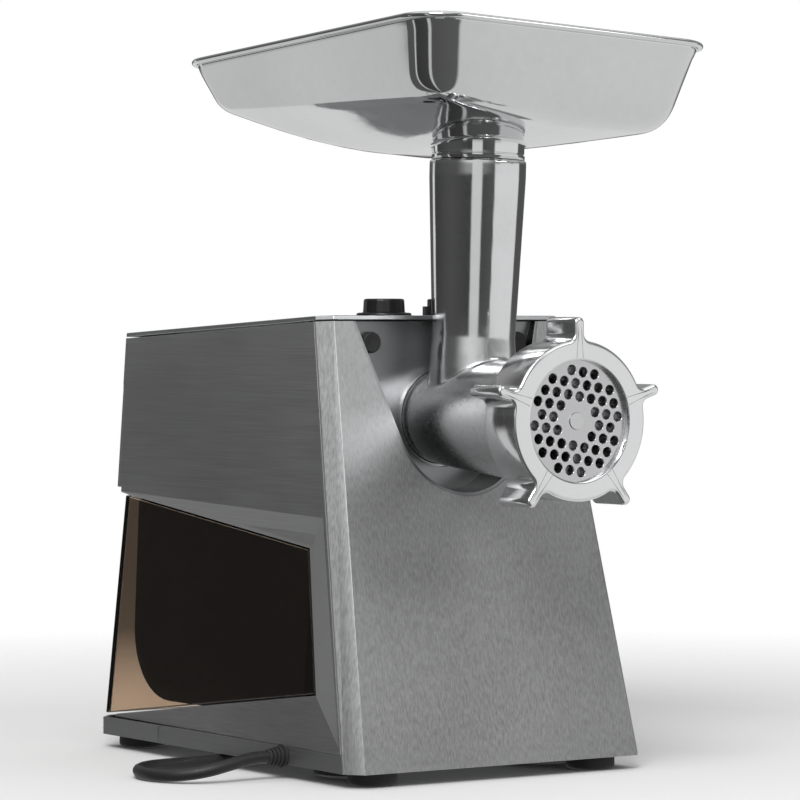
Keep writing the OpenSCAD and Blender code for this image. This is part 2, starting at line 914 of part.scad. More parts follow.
module ring_outline() {
    polygon([for (i = [0:lugs - 1], p = lug_sector())
        let (a = 90 + i * 360 / lugs) [p[0] * cos(a) - p[1] * sin(a), p[0] * sin(a) + p[1] * cos(a)]]);
}

module ring_nut() {
    color("#d0d3d5") placed() translate([0, 0, axis_z]) difference() {
        union() {
            along_y(ring_face + 1.2, -164.4) ring_outline();
            cone_y(ring_r - 1.2, ring_r - 0.2, ring_face, ring_face + 2);
        }
        bar_y(opening_r, ring_face - 1, plate_face + 1);
        bar_y(plate_d / 2 + 0.35, plate_face - 0.1, barrel_front);
        bar_y(34.5 + run, barrel_front - eps, -160);
    }
}

auger_pitch = 26;

module auger() {
    thread = 88;
    color("#c2c5c7") placed() translate([0, 0, axis_z]) {
        translate([0, -82, 0]) rotate([90, 0, 0])
            linear_extrude(thread, twist = -360 * thread / auger_pitch, slices = 66, $fn = 4)
                auger_section();
        bar_y(8, -82.5, -47.5);
        bar_y(6.9, -48, -33, 0, 0, 6);
        bar_y(8.9, -170.5, -160);
        bar_y(4, plate_face - 0.5, knife_face);
        bar_y(4.9, knife_face, -170, 0, 0, 4);
    }
}

// Section of the auger: a round core with one broad thread
module auger_section() {
    core = 9;
    tip = 21;
    polygon(concat(
        [for (a = [40:32:320]) on_circle(core, a)],
        [on_circle(tip, -14), on_circle(tip, -5), on_circle(tip, 5), on_circle(tip, 14)]));
}

module knife() {
    color("#d2d5d7") placed() translate([0, 0, axis_z]) difference() {
        union() {
            bar_y(9.5, knife_face, -171.5);
            for (a = [0:90:270]) rotate([0, a, 0])
                along_y(knife_face, -174) polygon([[-4.5, 5], [4.5, 5], [3, 28], [-5, 28]]);
        }
        bar_y(4.95, -179, -170.6, 0, 0, 4);
    }
}

// ---------------------------------------------------------------- tray

tray_h = 185.3;
tray_tilt = [-3.2, 1.4, 0];
wall_rear = 24;
wall_front = 41;
dish_depth = 51.5;
dish_back = 40;
corner_r = 21;

// Pan as one convex form, drawn in by g
module pan_form(g) {
    x = tray_w / 2;
    rear = tray_l - tray_front;
    hull() {
        for (s = [-1, 1]) {
            translate([s * (x - corner_r), -tray_front + corner_r, -1])
                cylinder(r = corner_r - g, h = 2, $fn = 32);
            translate([s * (x - corner_r), rear - corner_r, -1])
                cylinder(r = corner_r - g, h = 2, $fn = 32);
            translate([s * (x - corner_r - 12), -tray_front + corner_r + 12, -wall_front])
                cylinder(r = corner_r - 1 - g, h = 1, $fn = 32);
            translate([s * (x - corner_r - 8), rear - corner_r - 8, -wall_rear])
                cylinder(r = corner_r - 1 - g, h = 1, $fn = 32);
        }
        translate([0, dish_back, -dish_depth + g]) cylinder(r = 30, h = 1, $fn = 32);
    }
}

module tray_form(g) {
    translate([0, tube_y, tray_h]) rotate(tray_tilt) pan_form(g);
}

module hopper_tray() {
    color("#cfd2d4") placed() head_turned() {
        difference() {
            union() {
                tray_form(0);
                translate([0, tube_y, tube_top]) cylinder(r = 23, h = 13);
                translate([0, tube_y, tube_top + 13]) cylinder(r1 = 23, r2 = 33, h = 18);
                translate([0, tube_y, tube_top - 12]) cylinder(r = 20.9, h = 13);
                rim_band();
            }
            difference() {
                tray_form(1.2);
                translate([0, tube_y, tube_top - 1]) cylinder(r = 60, h = 6);
            }
            translate([0, tube_y, tray_h - 20]) rotate(tray_tilt) translate([0, 0, 19.9])
                linear_extrude(20) rim_outline(-1.2);
            translate([0, tube_y, tube_top - 20]) cylinder(r = 19.6, h = 60);
        }
    }
}

module rim_outline(g) {
    hull() for (sx = [-1, 1], y = [-tray_front + corner_r, tray_l - tray_front - corner_r])
        translate([sx * (tray_w / 2 - corner_r), y]) circle(r = corner_r + g, $fn = 32);
}

module rim_band() {
    translate([0, tube_y, tray_h]) rotate(tray_tilt) translate([0, 0, -3]) linear_extrude(4)
        rim_outline(2);
}

// ---------------------------------------------------------------- mains lead

cord_r = cord_d / 2;
lay_z = cord_r + 0.05;
exit_y = -62.5;
exit_z = 11.3;
coil_x = 136;
coil_y = 90;
coil_in = coil_r - cord_d;
coil_out = coil_r + cord_d;

// Route of the cord from the gland to the coil
cord_route = [
    [-98, -62.5, 11.3], [-105, -62.5, 11.1], [-112, -62.5, 10.2], [-119, -62.4, 8.8],
    [-130.5, -60.1, 6.2], [-140.2, -53.6, 4.3], [-146.7, -43.9, 3.4], [-149, -32.5, 3.25],
    [-146.7, -21.1, 3.25], [-140.2, -11.4, 3.25], [-130.5, -4.9, 3.25], [-119, -2.6, 3.25],
    [-100, -1.6, 3.25], [-80, 1, 3.25], [-58, 6, 3.25], [-34, 14, 3.25],
    [-8, 23, 3.25], [18, 32, 3.25], [44, 41, 3.25], [70, 48, 3.25],
    [90, 51, 3.25], [106, 51.8, 3.25], [120, 51.8, 3.25]
];

// Sideways direction at point i of the route
function heading(i) =
    let (n = len(cord_route), a = cord_route[max(0, i - 1)], b = cord_route[min(n - 1, i + 1)])
    (b - a) / norm(b - a);
function ring_at(i) =
    let (t = i == 0 ? [-1, 0, 0] : heading(i), side = cross(t, [0, 0, 1]) / norm(cross(t, [0, 0, 1])),
        up = cross(side, t))
    [for (a = [22.5:45:337.5]) cord_route[i] + cord_r * (cos(a) * side + sin(a) * up)];

module power_cord() {
    n = len(cord_route);
    color("#161616") placed() polyhedron(
        points = [for (i = [0:n - 1]) each ring_at(i)],
        faces = concat(
            [[for (k = [7:-1:0]) k]], [[for (k = [0:7]) (n - 1) * 8 + k]],
            [for (i = [0:n - 2], k = [0:7])
                [i * 8 + k, i * 8 + (k + 1) % 8, (i + 1) * 8 + (k + 1) % 8, (i + 1) * 8 + k]]));
}

module cord_coil() {
    color("#161616") placed() translate([coil_x, coil_y, 0]) rotate_extrude() translate([coil_in, 0.05])
        square([2 * cord_d, 2 * cord_d]);
}

// Hole through the left edge of the base for the cord
module gland_hole() {
    translate([-100, exit_y, exit_z]) rotate([0, 90, 0]) cylinder(r = 4, h = 26);
}

module cord_gland() {
    color("#161616") placed() translate([0, exit_y, exit_z]) rotate([0, -90, 0]) {
        translate([0, 0, 76]) cylinder(r = 3.95, h = bottom_half - 76);
        translate([0, 0, bottom_half]) cylinder(r1 = 4.6, r2 = cord_r + 0.2, h = 98 - bottom_half);
    }
}

// Plug beside the coil, in line with its last turn
plug_x = coil_x + coil_r + cord_r;
plug_y = coil_y + 23;
plug_h = 17;

module plug() {
    color("#161616") placed() translate([plug_x, plug_y, plug_h / 2 + 0.05]) {
        rotate([-90, 0, 0]) cylinder(r1 = 3.6, r2 = 6, h = 20.5);
        span([-9, 20, -plug_h / 2], [9, 52, plug_h / 2]);
        translate([0, 51.5, 0]) rotate([-90, 0, 0]) cylinder(r = 8, h = 5);
    }
}

module plug_pins() {
    color("silver") placed() translate([plug_x, plug_y, plug_h / 2 + 0.05]) for (s = [-1, 1])
        translate([s * 6.35, 56.5, 0]) rotate([-90, 0, 0]) cylinder(r = 0.9, h = 16);
}

front_panel();
head_recess();
left_side_panel();
right_side_panel();
rear_panel();
top_cover();
base_plate();
motor_cover();
rubber_feet();
front_pads();
screw_caps();
base_screws();
rear_screws();
head_socket();
gearbox_front();
gearbox_rear();
gearbox_screws();
output_bushes();
idler_bushes();
rotor_bearings();
motor_stator();
field_coils();
motor_bracket();
motor_bolts();
brush_holders();
carbon_brushes();
rotary_switch();
control_board();
board_parts();
cord_gland();
smoked_cover();
grinder_head();
auger_bush();
cutting_plate();
ring_nut();
auger();
knife();
hopper_tray();
output_gear();
idler_gear();
idler_shaft();
rotor_shaft();
armature();
commutator();
fan();
motor_pinion();
control_knob();
release_button();
latch_plate();
button_bezel();
latch_spring();
power_cord();
cord_coil();
plug();
plug_pins();
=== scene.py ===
"""Electric meat grinder: the looks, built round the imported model.

Sizes are in millimetres in the machine's design frame. Its Y = 0 lies 32 mm behind that of the row frame, the
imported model's own, and at() and the mesh builders turn them into metres in the row frame.
"""

import math

import bmesh
import bpy
from mathutils import Matrix, Vector


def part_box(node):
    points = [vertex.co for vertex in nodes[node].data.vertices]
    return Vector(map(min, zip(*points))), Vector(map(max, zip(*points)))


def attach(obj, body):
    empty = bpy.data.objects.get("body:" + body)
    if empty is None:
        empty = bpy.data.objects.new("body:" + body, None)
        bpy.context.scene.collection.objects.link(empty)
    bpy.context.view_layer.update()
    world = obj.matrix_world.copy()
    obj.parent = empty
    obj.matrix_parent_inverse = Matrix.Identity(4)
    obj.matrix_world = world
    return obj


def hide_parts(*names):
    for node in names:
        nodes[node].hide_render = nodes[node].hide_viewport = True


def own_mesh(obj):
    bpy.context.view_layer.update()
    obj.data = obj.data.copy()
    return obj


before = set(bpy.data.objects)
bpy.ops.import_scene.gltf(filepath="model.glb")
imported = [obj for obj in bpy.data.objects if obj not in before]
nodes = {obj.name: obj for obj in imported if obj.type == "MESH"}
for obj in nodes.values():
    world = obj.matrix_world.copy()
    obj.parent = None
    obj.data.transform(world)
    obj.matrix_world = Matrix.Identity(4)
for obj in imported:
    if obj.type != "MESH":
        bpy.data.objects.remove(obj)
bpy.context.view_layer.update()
scene = bpy.context.scene

MM = 0.001
BASE_REAR = 125
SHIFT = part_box("base_plate")[1].y / MM - BASE_REAR
AXIS_Z = 178
TUBE_Y = -97.7
HEAD_TURN = math.radians(1.75)


def at(x, y, z):
    """A point of the design frame, in the row frame in metres."""
    return Vector((x, y + SHIFT, z)) * MM


# ---------------------------------------------------------------- camera

LENS = 178.66
SENSOR = 36
VIEW_PLACE = (-1129.965, -1723.048, 222.855)
VIEW_YAW = math.radians(33.776)
VIEW_DROP = math.radians(1.044)


def make_camera():
    data = bpy.data.cameras.new("camera")
    data.lens = LENS
    data.sensor_width = SENSOR
    data.clip_start = 0.05
    data.clip_end = 50
    camera = bpy.data.objects.new("camera", data)
    camera.location = at(*VIEW_PLACE)
    camera.rotation_euler = (math.pi / 2 - VIEW_DROP, 0, -VIEW_YAW)
    scene.collection.objects.link(camera)
    scene.camera = camera


# ---------------------------------------------------------------- node helpers


class Shader:
    """A material's node tree, with short calls for the nodes that the looks are made of."""

    def __init__(self, name):
        self.material = bpy.data.materials.new(name)
        self.material.use_nodes = True
        self.tree = self.material.node_tree
        self.bsdf = self.tree.nodes["Principled BSDF"]
        self.place = self.node("ShaderNodeTexCoord").outputs["Object"]

    def node(self, kind, **settings):
        made = self.tree.nodes.new(kind)
        for key, value in settings.items():
            setattr(made, key, value)
        return made

    def link(self, source, target):
        self.tree.links.new(source, target)

    def noise(self, scale, detail=3, rough=0.55):
        """Noise whose features are 1/scale metres long; scale may differ along X, Y and Z."""
        mapping = self.node("ShaderNodeMapping")
        self.link(self.place, mapping.inputs["Vector"])
        mapping.inputs["Scale"].default_value = scale if hasattr(scale, "__len__") else (scale,) * 3
        noise = self.node("ShaderNodeTexNoise")
        noise.inputs["Scale"].default_value = 1
        noise.inputs["Detail"].default_value = detail
        noise.inputs["Roughness"].default_value = rough
        self.link(mapping.outputs["Vector"], noise.inputs["Vector"])
        return noise.outputs["Fac"]

    def spread(self, value, low, high, at_low=0.3, at_high=0.7):
        """value mapped so that at_low gives low and at_high gives high."""
        made = self.node("ShaderNodeMapRange")
        self.link(value, made.inputs["Value"])
        for name, number in (("From Min", at_low), ("From Max", at_high), ("To Min", low), ("To Max", high)):
            made.inputs[name].default_value = number
        return made.outputs["Result"]

    def times(self, a, b):
        made = self.node("ShaderNodeMath", operation="MULTIPLY")
        self.link(a, made.inputs[0])
        self.link(b, made.inputs[1])
        return made.outputs[0]

    def plus(self, a, b):
        made = self.node("ShaderNodeMath", operation="ADD")
        self.link(a, made.inputs[0])
        self.link(b, made.inputs[1])
        return made.outputs[0]

    def shade(self, colour, value):
        """colour multiplied by a value that varies over the surface."""
        made = self.node("ShaderNodeVectorMath", operation="SCALE")
        made.inputs[0].default_value = colour
        self.link(value, made.inputs["Scale"])
        return made.outputs[0]

    def bump(self, height, depth):
        """Bump of the given depth in metres."""
        made = self.node("ShaderNodeBump")
        made.inputs["Strength"].default_value = 1
        made.inputs["Distance"].default_value = depth
        self.link(height, made.inputs["Height"])
        self.link(made.outputs["Normal"], self.bsdf.inputs["Normal"])

    def set(self, **values):
        for name, value in values.items():
            self.bsdf.inputs[name.replace("_", " ")].default_value = value

    def colour(self, socket):
        self.link(socket, self.bsdf.inputs["Base Color"])

    def rough(self, socket):
        self.link(socket, self.bsdf.inputs["Roughness"])


def surface(name, colour, rough, metal=0.0, grain=(900, 900, 900), depth=0.00001, contrast=0.06,
            cloud=9, cloud_contrast=0.06, rough_spread=0.06, wear=0.0, **sockets):
    """A material with fine grain, broad clouds, uneven roughness and edges worn lighter."""
    s = Shader(name)
    fine = s.noise(grain, 4, 0.6)
    broad = s.noise(cloud, 2, 0.5)
    tone = s.times(s.spread(fine, 1 - contrast, 1 + contrast),
                   s.spread(broad, 1 - cloud_contrast, 1 + cloud_contrast))
    if wear:
        edge = s.node("ShaderNodeNewGeometry").outputs["Pointiness"]
        tone = s.times(tone, s.spread(edge, 1, 1 + wear, 0.52, 0.6))
    s.colour(s.shade(colour, tone))
    s.rough(s.plus(s.spread(fine, rough - rough_spread, rough + rough_spread),
                   s.spread(broad, -rough_spread / 2, rough_spread / 2)))
    s.bump(fine, depth)
    s.set(Metallic=metal, **sockets)
    return s.material


def cast_look(name, colour):
    """Cast aluminium, satin on the barrel and turned bright up the feed tube."""
    s = Shader(name)
    fine, broad = s.noise(420, 4, 0.6), s.noise(40, 2, 0.5)
    height = s.node("ShaderNodeSeparateXYZ")
    s.link(s.place, height.inputs[0])
    satin = s.spread(height.outputs["Z"], 0.26, 0.09, 0.195, 0.235)
    s.rough(s.plus(satin, s.spread(fine, -0.02, 0.02)))
    s.colour(s.shade(colour, s.times(s.spread(fine, 0.98, 1.02), s.spread(broad, 0.97, 1.03))))
    s.bump(fine, 0.000002)
    s.set(Metallic=1)
    return s.material


def recess_look(name, colour, wall_shade_colour):
    """Smooth steel on the recess's flat back, and painted shade, near black, on the wall round it."""
    s = Shader(name)
    facing = s.node("ShaderNodeSeparateXYZ")
    s.link(s.node("ShaderNodeTexCoord").outputs["Normal"], facing.inputs[0])
    across = s.node("ShaderNodeMath", operation="ABSOLUTE")
    s.link(facing.outputs["Y"], across.inputs[0])
    fine = s.noise(500, 4, 0.6)
    mix = s.node("ShaderNodeMix", data_type="RGBA")
    s.link(s.spread(across.outputs[0], 0, 1, 0.4, 0.7), mix.inputs["Factor"])
    # Painted shade: the wall round the recess is coloured near black, as if it lay in shadow.
    s.link(s.shade(wall_shade_colour, s.spread(fine, 0.9, 1.1)), mix.inputs["A"])
    s.link(s.shade(colour, s.spread(fine, 0.97, 1.03)), mix.inputs["B"])
    s.colour(mix.outputs["Result"])
    s.rough(s.spread(s.noise(9, 2), 0.3, 0.38))
    s.bump(fine, 0.000002)
    s.set(Metallic=0.9)
    return s.material


def see_through(name, colour, rough):
    """Tinted clear plastic with faint scratches."""
    s = Shader(name)
    scratches = s.noise((60, 900, 900), 3, 0.6)
    s.rough(s.spread(scratches, rough, rough + 0.04))
    s.colour(s.shade(colour, s.spread(s.noise(14), 0.96, 1.04)))
    s.bump(scratches, 0.000002)
    s.set(Transmission_Weight=1.0, IOR=1.46)
    return s.material


def layered(name, colour, gap_colour, period, axis, rough, metal, depth):
    """Thin layers stacked along an axis, such as laminations or wound wire."""
    s = Shader(name)
    wave = s.node("ShaderNodeTexWave", wave_type="BANDS", bands_direction=axis)
    wave.inputs["Scale"].default_value = 0.3142 / period
    wave.inputs["Distortion"].default_value = 0.4
    s.link(s.place, wave.inputs["Vector"])
    mix = s.node("ShaderNodeMix", data_type="RGBA")
    mix.inputs["A"].default_value = (*gap_colour, 1)
    mix.inputs["B"].default_value = (*colour, 1)
    s.link(s.spread(wave.outputs["Fac"], 0, 1, 0.1, 0.5), mix.inputs["Factor"])
    s.colour(mix.outputs["Result"])
    s.rough(s.spread(s.noise(400), rough - 0.08, rough + 0.08))
    s.bump(wave.outputs["Fac"], depth)
    s.set(Metallic=metal)
    return s.material


# ---------------------------------------------------------------- materials

# Features of the brushed grain to a metre, along X, Y and Z
UPRIGHT_GRAIN = (1300, 1300, 7)
LEVEL_GRAIN = (2600, 18, 2600)
ROUND_GRAIN = (700, 60, 700)

PANEL_GREY = (0.33, 0.332, 0.335)

LOOKS = {
    "front_steel": surface("front_steel", PANEL_GREY, 0.38, 0.7, UPRIGHT_GRAIN, 0.000004, 0.2, wear=0.3),
    "side_steel": surface("side_steel", PANEL_GREY, 0.42, 0.9, LEVEL_GRAIN, 0.000014, 0.14, wear=0.3),
    # The recess's second colour is painted shade on its wall.
    "recess_steel": recess_look("recess_steel", (0.29, 0.295, 0.30), (0.035, 0.035, 0.036)),
    "cover_steel": surface("cover_steel", (0.55, 0.56, 0.57), 0.33, 1, LEVEL_GRAIN, 0.00001, 0.08),
    "base_steel": surface("base_steel", (0.18, 0.182, 0.185), 0.45, 0.8, LEVEL_GRAIN, 0.000012, 0.1,
                          wear=0.3),
    "black_plastic": surface("black_plastic", (0.009, 0.009, 0.0095), 0.34, 0, depth=0.00002, wear=0.6),
    "gloss_black": surface("gloss_black", (0.003, 0.0026, 0.0023), 0.12, 0, (400, 400, 400), 0.000004),
    "rubber": surface("rubber", (0.018, 0.018, 0.019), 0.72, 0, (1500, 1500, 1500), 0.00003, wear=0.5),
    "bright_steel": surface("bright_steel", (0.7, 0.7, 0.71), 0.2, 1, (600, 600, 600), 0.000004),
    "cast_aluminium": cast_look("cast_aluminium", (0.70, 0.705, 0.71)),
    "polished_ring": surface("polished_ring", (0.77, 0.775, 0.78), 0.13, 1, (300, 300, 300), 0.000003, 0.03,
                             wear=0.1),
    "plate_steel": surface("plate_steel", (0.62, 0.62, 0.63), 0.22, 1, ROUND_GRAIN, 0.000003, 0.06),
    "bronze": surface("bronze", (0.5, 0.36, 0.2), 0.35, 1),
    "steel": surface("steel", (0.5, 0.5, 0.51), 0.33, 1, ROUND_GRAIN, 0.00001, 0.1),
    "nylon": surface("nylon", (0.75, 0.7, 0.58), 0.45, 0, Subsurface_Weight=0.1),
    "board_green": surface("board_green", (0.02, 0.14, 0.06), 0.3, 0, (300, 300, 300), 0.00002, 0.3),
    "board_grey": surface("board_grey", (0.04, 0.045, 0.05), 0.4, 0),
    "tray_steel": surface("tray_steel", (0.74, 0.745, 0.75), 0.07, 1, (160, 160, 160), 0.000004, 0.02,
                          rough_spread=0.03),
    "cord_rubber": surface("cord_rubber", (0.014, 0.014, 0.015), 0.5, 0, (1200, 1200, 1200), 0.00002),
    "smoked": see_through("smoked", (0.80, 0.67, 0.55), 0.02),
    "iron": layered("iron", (0.32, 0.32, 0.33), (0.1, 0.09, 0.08), 0.0006, "Y", 0.4, 1, 0.00003),
    "copper": layered("copper", (0.55, 0.22, 0.09), (0.16, 0.05, 0.02), 0.0006, "Y", 0.35, 1, 0.0001),
}

NODE_LOOKS = {
    "front_steel": ["front_panel"],
    "side_steel": ["left_side_panel", "right_side_panel", "rear_panel"],
    "recess_steel": ["head_recess"],
    "cover_steel": ["top_cover"],
    "base_steel": ["base_plate"],
    "gloss_black": ["motor_cover"],
    "rubber": ["rubber_feet", "front_pads", "screw_caps", "cord_gland"],
    "black_plastic": ["brush_holders", "rotary_switch", "fan", "control_knob", "release_button",
                      "button_bezel", "plug"],
    "bright_steel": ["base_screws", "rear_screws", "gearbox_screws", "rotor_bearings", "motor_bolts",
                     "latch_spring", "plug_pins"],
    "cast_aluminium": ["grinder_head", "gearbox_front", "gearbox_rear", "motor_bracket", "auger"],
    "polished_ring": ["ring_nut"],
    "plate_steel": ["cutting_plate", "knife"],
    "bronze": ["output_bushes", "idler_bushes"],
    "steel": ["head_socket", "output_gear", "idler_shaft", "rotor_shaft", "motor_pinion", "latch_plate"],
    "nylon": ["auger_bush", "idler_gear"],
    "board_green": ["control_board"],
    "board_grey": ["board_parts", "carbon_brushes"],
    "smoked": ["smoked_cover"],
    "tray_steel": ["hopper_tray"],
    "iron": ["motor_stator", "armature"],
    "copper": ["field_coils", "commutator"],
    "cord_rubber": ["power_cord", "cord_coil"],
}


def dress_nodes():
    for look, names in NODE_LOOKS.items():
        for name in names:
            data = nodes[name].data
            data.materials.clear()
            data.materials.append(LOOKS[look])


def soften(name, width):
    """Round a CAD node's sharp edges by width millimetres, with modifiers only."""
    o = nodes[name]
    weld = o.modifiers.new("weld", "WELD")
    weld.merge_threshold = 0.00001
    flat = o.modifiers.new("flat", "DECIMATE")
    flat.decimate_type = "DISSOLVE"
    flat.angle_limit = math.radians(0.6)
    bevel = o.modifiers.new("bevel", "BEVEL")
    bevel.width = width * MM
    bevel.segments = 2
    bevel.limit_method = "ANGLE"
    bevel.angle_limit = math.radians(25)
    bevel.harden_normals = True


# ---------------------------------------------------------------- mesh helpers


def new_piece(name, mesh, body, look, slot, *replaced):
    piece = bpy.data.objects.new(name, mesh)
    scene.collection.objects.link(piece)
    mesh.materials.append(LOOKS[look])
    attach(piece, body)
    if replaced:
        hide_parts(*replaced)
    return piece


def mesh_of(name, points, faces, sharp=35):
    """A mesh of points in design millimetres, smooth but for edges sharper than an angle."""
    mesh = bpy.data.meshes.new(name)
    mesh.from_pydata([at(*p) for p in points], [], faces)
    tidy = bmesh.new()
    tidy.from_mesh(mesh)
    bmesh.ops.remove_doubles(tidy, verts=tidy.verts, dist=0.000001)
    bmesh.ops.recalc_face_normals(tidy, faces=tidy.faces)
    tidy.to_mesh(mesh)
    tidy.free()
    mesh.shade_smooth()
    mesh.set_sharp_from_angle(angle=math.radians(sharp))
    return mesh


def loft(rings, closed=False):
    """Points and faces of a skin over rings of equal length; closed joins the last ring to the first."""
    n = len(rings[0])
    points = [p for ring in rings for p in ring]
    faces = []
    for i in range(len(rings) if closed else len(rings) - 1):
        a, b = i * n, (i + 1) % len(rings) * n
        faces += [(a + k, a + (k + 1) % n, b + (k + 1) % n, b + k) for k in range(n)]
    return points, faces


def joined(*parts):
    """Several (points, faces) as one."""
    points, faces = [], []
    for p, f in parts:
        faces += [tuple(i + len(points) for i in face) for face in f]
        points += p
    return points, faces


def turned(profile, steps=64, axis="Z", centre=(0, 0, 0)):
    """A closed profile of (radius, distance along the axis) turned about an axis through centre."""
    rings = []
    for r, d in profile:
        ring = []
        for k in range(steps):
            c, s = math.cos(2 * math.pi * k / steps) * r, math.sin(2 * math.pi * k / steps) * r
            local = (c, s, d) if axis == "Z" else (c, d, s)
            ring.append(tuple(centre[i] + local[i] for i in range(3)))
        rings.append(ring)
    return loft(rings, closed=True)


def arc(cx, cy, r, start, end, steps):
    """Points on a circle from one angle to another, in degrees."""
    angles = [math.radians(start + (end - start) * i / steps) for i in range(steps + 1)]
    return [(cx + r * math.cos(a), cy + r * math.sin(a)) for a in angles]


def head_point(x, y, z):
    """A point given from the barrel axis in the turned head, in the design frame."""
    c, s = math.cos(HEAD_TURN), math.sin(HEAD_TURN)
    return (x * c + z * s, y, AXIS_Z - x * s + z * c)


# ---------------------------------------------------------------- mains lead

CORD_D = 6.4
LAY_Z = 3.25
EXIT = (-98, -62.5, 11.3)
COIL = (136, 90)
COIL_OUT = 38.2
COIL_IN = 31.8
PLUG_END = (174.2, 113, 8.6)
PLUG_DROP = 0.05
PIN_SIDE = 6.35
CORD_ROUTE = [
    (-0.098, -0.0625, 0.0113), (-0.105, -0.0625, 0.0111), (-0.112, -0.0625, 0.0102),
    (-0.119, -0.0624, 0.0088), (-0.1305, -0.0601, 0.0062), (-0.1402, -0.0536, 0.0043),
    (-0.1467, -0.0439, 0.0034), (-0.149, -0.0325, 0.00325), (-0.1467, -0.0211, 0.00325),
    (-0.1402, -0.0114, 0.00325), (-0.1305, -0.0049, 0.00325), (-0.119, -0.0026, 0.00325),
    (-0.100, -0.0016, 0.00325), (-0.080, 0.001, 0.00325), (-0.058, 0.006, 0.00325),
    (-0.034, 0.014, 0.00325), (-0.008, 0.023, 0.00325), (0.018, 0.032, 0.00325),
    (0.044, 0.041, 0.00325), (0.070, 0.048, 0.00325), (0.090, 0.051, 0.00325),
    (0.106, 0.0518, 0.00325), (0.120, 0.0518, 0.00325),
]


def ease(value, start, end):
    t = min(1, max(0, (value - start) / (end - start)))
    return t * t * (3 - 2 * t)


def coil_turns():
    """Turns of the coil: outer, then inner, then up to inner and outer of the second layer."""
    points = []
    for degrees in range(-90, 1081, 18):
        r = COIL_OUT + (COIL_IN - COIL_OUT) * (ease(degrees, 190, 250) - ease(degrees, 790, 850))
        z = LAY_Z + CORD_D * ease(degrees, 490, 550)
        a = math.radians(degrees)
        points.append((COIL[0] + r * math.cos(a), COIL[1] + r * math.sin(a), z))
    return points


def make_cord():
    end = [(PLUG_END[0], COIL[1] + 12, LAY_Z + CORD_D - 0.5), PLUG_END]
    points = [at(*(c / MM for c in p)) for p in CORD_ROUTE] + [at(*p) for p in coil_turns() + end]
    curve = bpy.data.curves.new("mains_lead", "CURVE")
    curve.dimensions = "3D"
    curve.bevel_depth = CORD_D / 2 * MM
    curve.bevel_resolution = 4
    curve.resolution_u = 6
    curve.use_fill_caps = True
    spline = curve.splines.new("BEZIER")
    spline.bezier_points.add(len(points) - 1)
    for handle, p in zip(spline.bezier_points, points):
        handle.co = p
        handle.handle_left_type = handle.handle_right_type = "AUTO"
    curve.materials.append(LOOKS["cord_rubber"])
    lead = bpy.data.objects.new("mains_lead", curve)
    scene.collection.objects.link(lead)
    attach(lead, "casing")
    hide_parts("power_cord", "cord_coil")
    return lead


def make_gland():
    """Tapered strain relief with ring grooves."""
    profile = [(0.5, 76), (3.9, 76), (3.9, 88.6), (5.6, 88.9), (5.9, 89.4), (5.8, 90.2)]
    for i in range(4):
        x = 90.6 + i * 1.9
        r = 5.0 - i * 0.4
        profile += [(r - 0.7, x), (r - 0.7, x + 0.6), (r, x + 0.9), (r - 0.1, x + 1.7)]
    profile += [(3.45, 98.2), (0.5, 98.2)]
    points, faces = turned([(r, -x) for r, x in profile], 40)
    points = [(z, EXIT[1] + y, EXIT[2] + x) for x, y, z in points]
    mesh = mesh_of("gland_boot", points, faces)
    return new_piece("gland_boot", mesh, "casing", "rubber", "rubber", "cord_gland")


def make_plug():
    """Moulded plug: a rounded body with a waist, its strain relief and a round nose."""
    x, y, z = PLUG_END
    # Distance along the plug, half its width and half its height
    sections = [(0.0, 3.5, 3.5), (4, 3.9, 3.9), (4.6, 3.5, 3.5), (8, 4.2, 4.2), (8.6, 3.8, 3.8),
                (12.5, 4.8, 4.8), (13.1, 4.4, 4.4), (18, 5.6, 5.6), (20.5, 7.4, 6.6), (24, 8.9, 8.3),
                (29, 9.2, 8.5), (35, 8.2, 7.8), (42, 8.2, 7.8), (48, 8.9, 8.4), (51, 8.8, 8.4),
                (52, 8.3, 8.2), (52.3, 8.0, 8.0), (56, 8.0, 8.0), (56.5, 7.6, 7.6), (56.5, 0.4, 0.4)]
    rings = [[(x, y, z)] * 48]
    for d, w, h in sections:
        power = 0.72 if 20 <= d <= 52 else 1.0
        ring = []
        for k in range(48):
            c, s = math.cos(k * math.pi / 24), math.sin(k * math.pi / 24)
            ring.append((x + w * math.copysign(abs(c) ** power, c), y + d,
                         z + h * math.copysign(abs(s) ** power, s) - PLUG_DROP))
        rings.append(ring)
    mesh = mesh_of("plug_body", *loft(rings))
    return new_piece("plug_body", mesh, "casing", "black_plastic", "black_plastic", "plug")


def make_plug_pins():
    parts = []
    for side in (-1, 1):
        profile = [(0.2, 54), (0.88, 54), (0.88, 72), (0.6, 72.5), (0.2, 72.6)]
        foot = (PLUG_END[0] + side * PIN_SIDE, PLUG_END[1], PLUG_END[2] - PLUG_DROP)
        parts.append(turned(profile, 24, "Y", foot))
    mesh = mesh_of("plug_contacts", *joined(*parts))
    return new_piece("plug_contacts", mesh, "casing", "bright_steel", "screw_steel", "plug_pins")


# ---------------------------------------------------------------- tray

TRAY_H = 185.3
TRAY_W = 172
TRAY_L = 228
TRAY_FRONT = 80
TRAY_TILT = (math.radians(-3.2), math.radians(1.4))
DISH = 51
DISH_CENTRE = (-3, 42)
SPOUT_R = 23
SPOUT_FLARE = 1.6
SPOUT_FOOT = 128.35
SHEET = 1.2
BEAD_R = 1.5
BEAD_OUT = 0.5
BEAD_Z = -0.9
CREASE_REAR = 25.5
CREASE_FALL = 15.5
CREASE_SAG = 3
CREASE_LEAN = 0.028
CORNER_STEPS = 12
EDGE_STEPS = 10


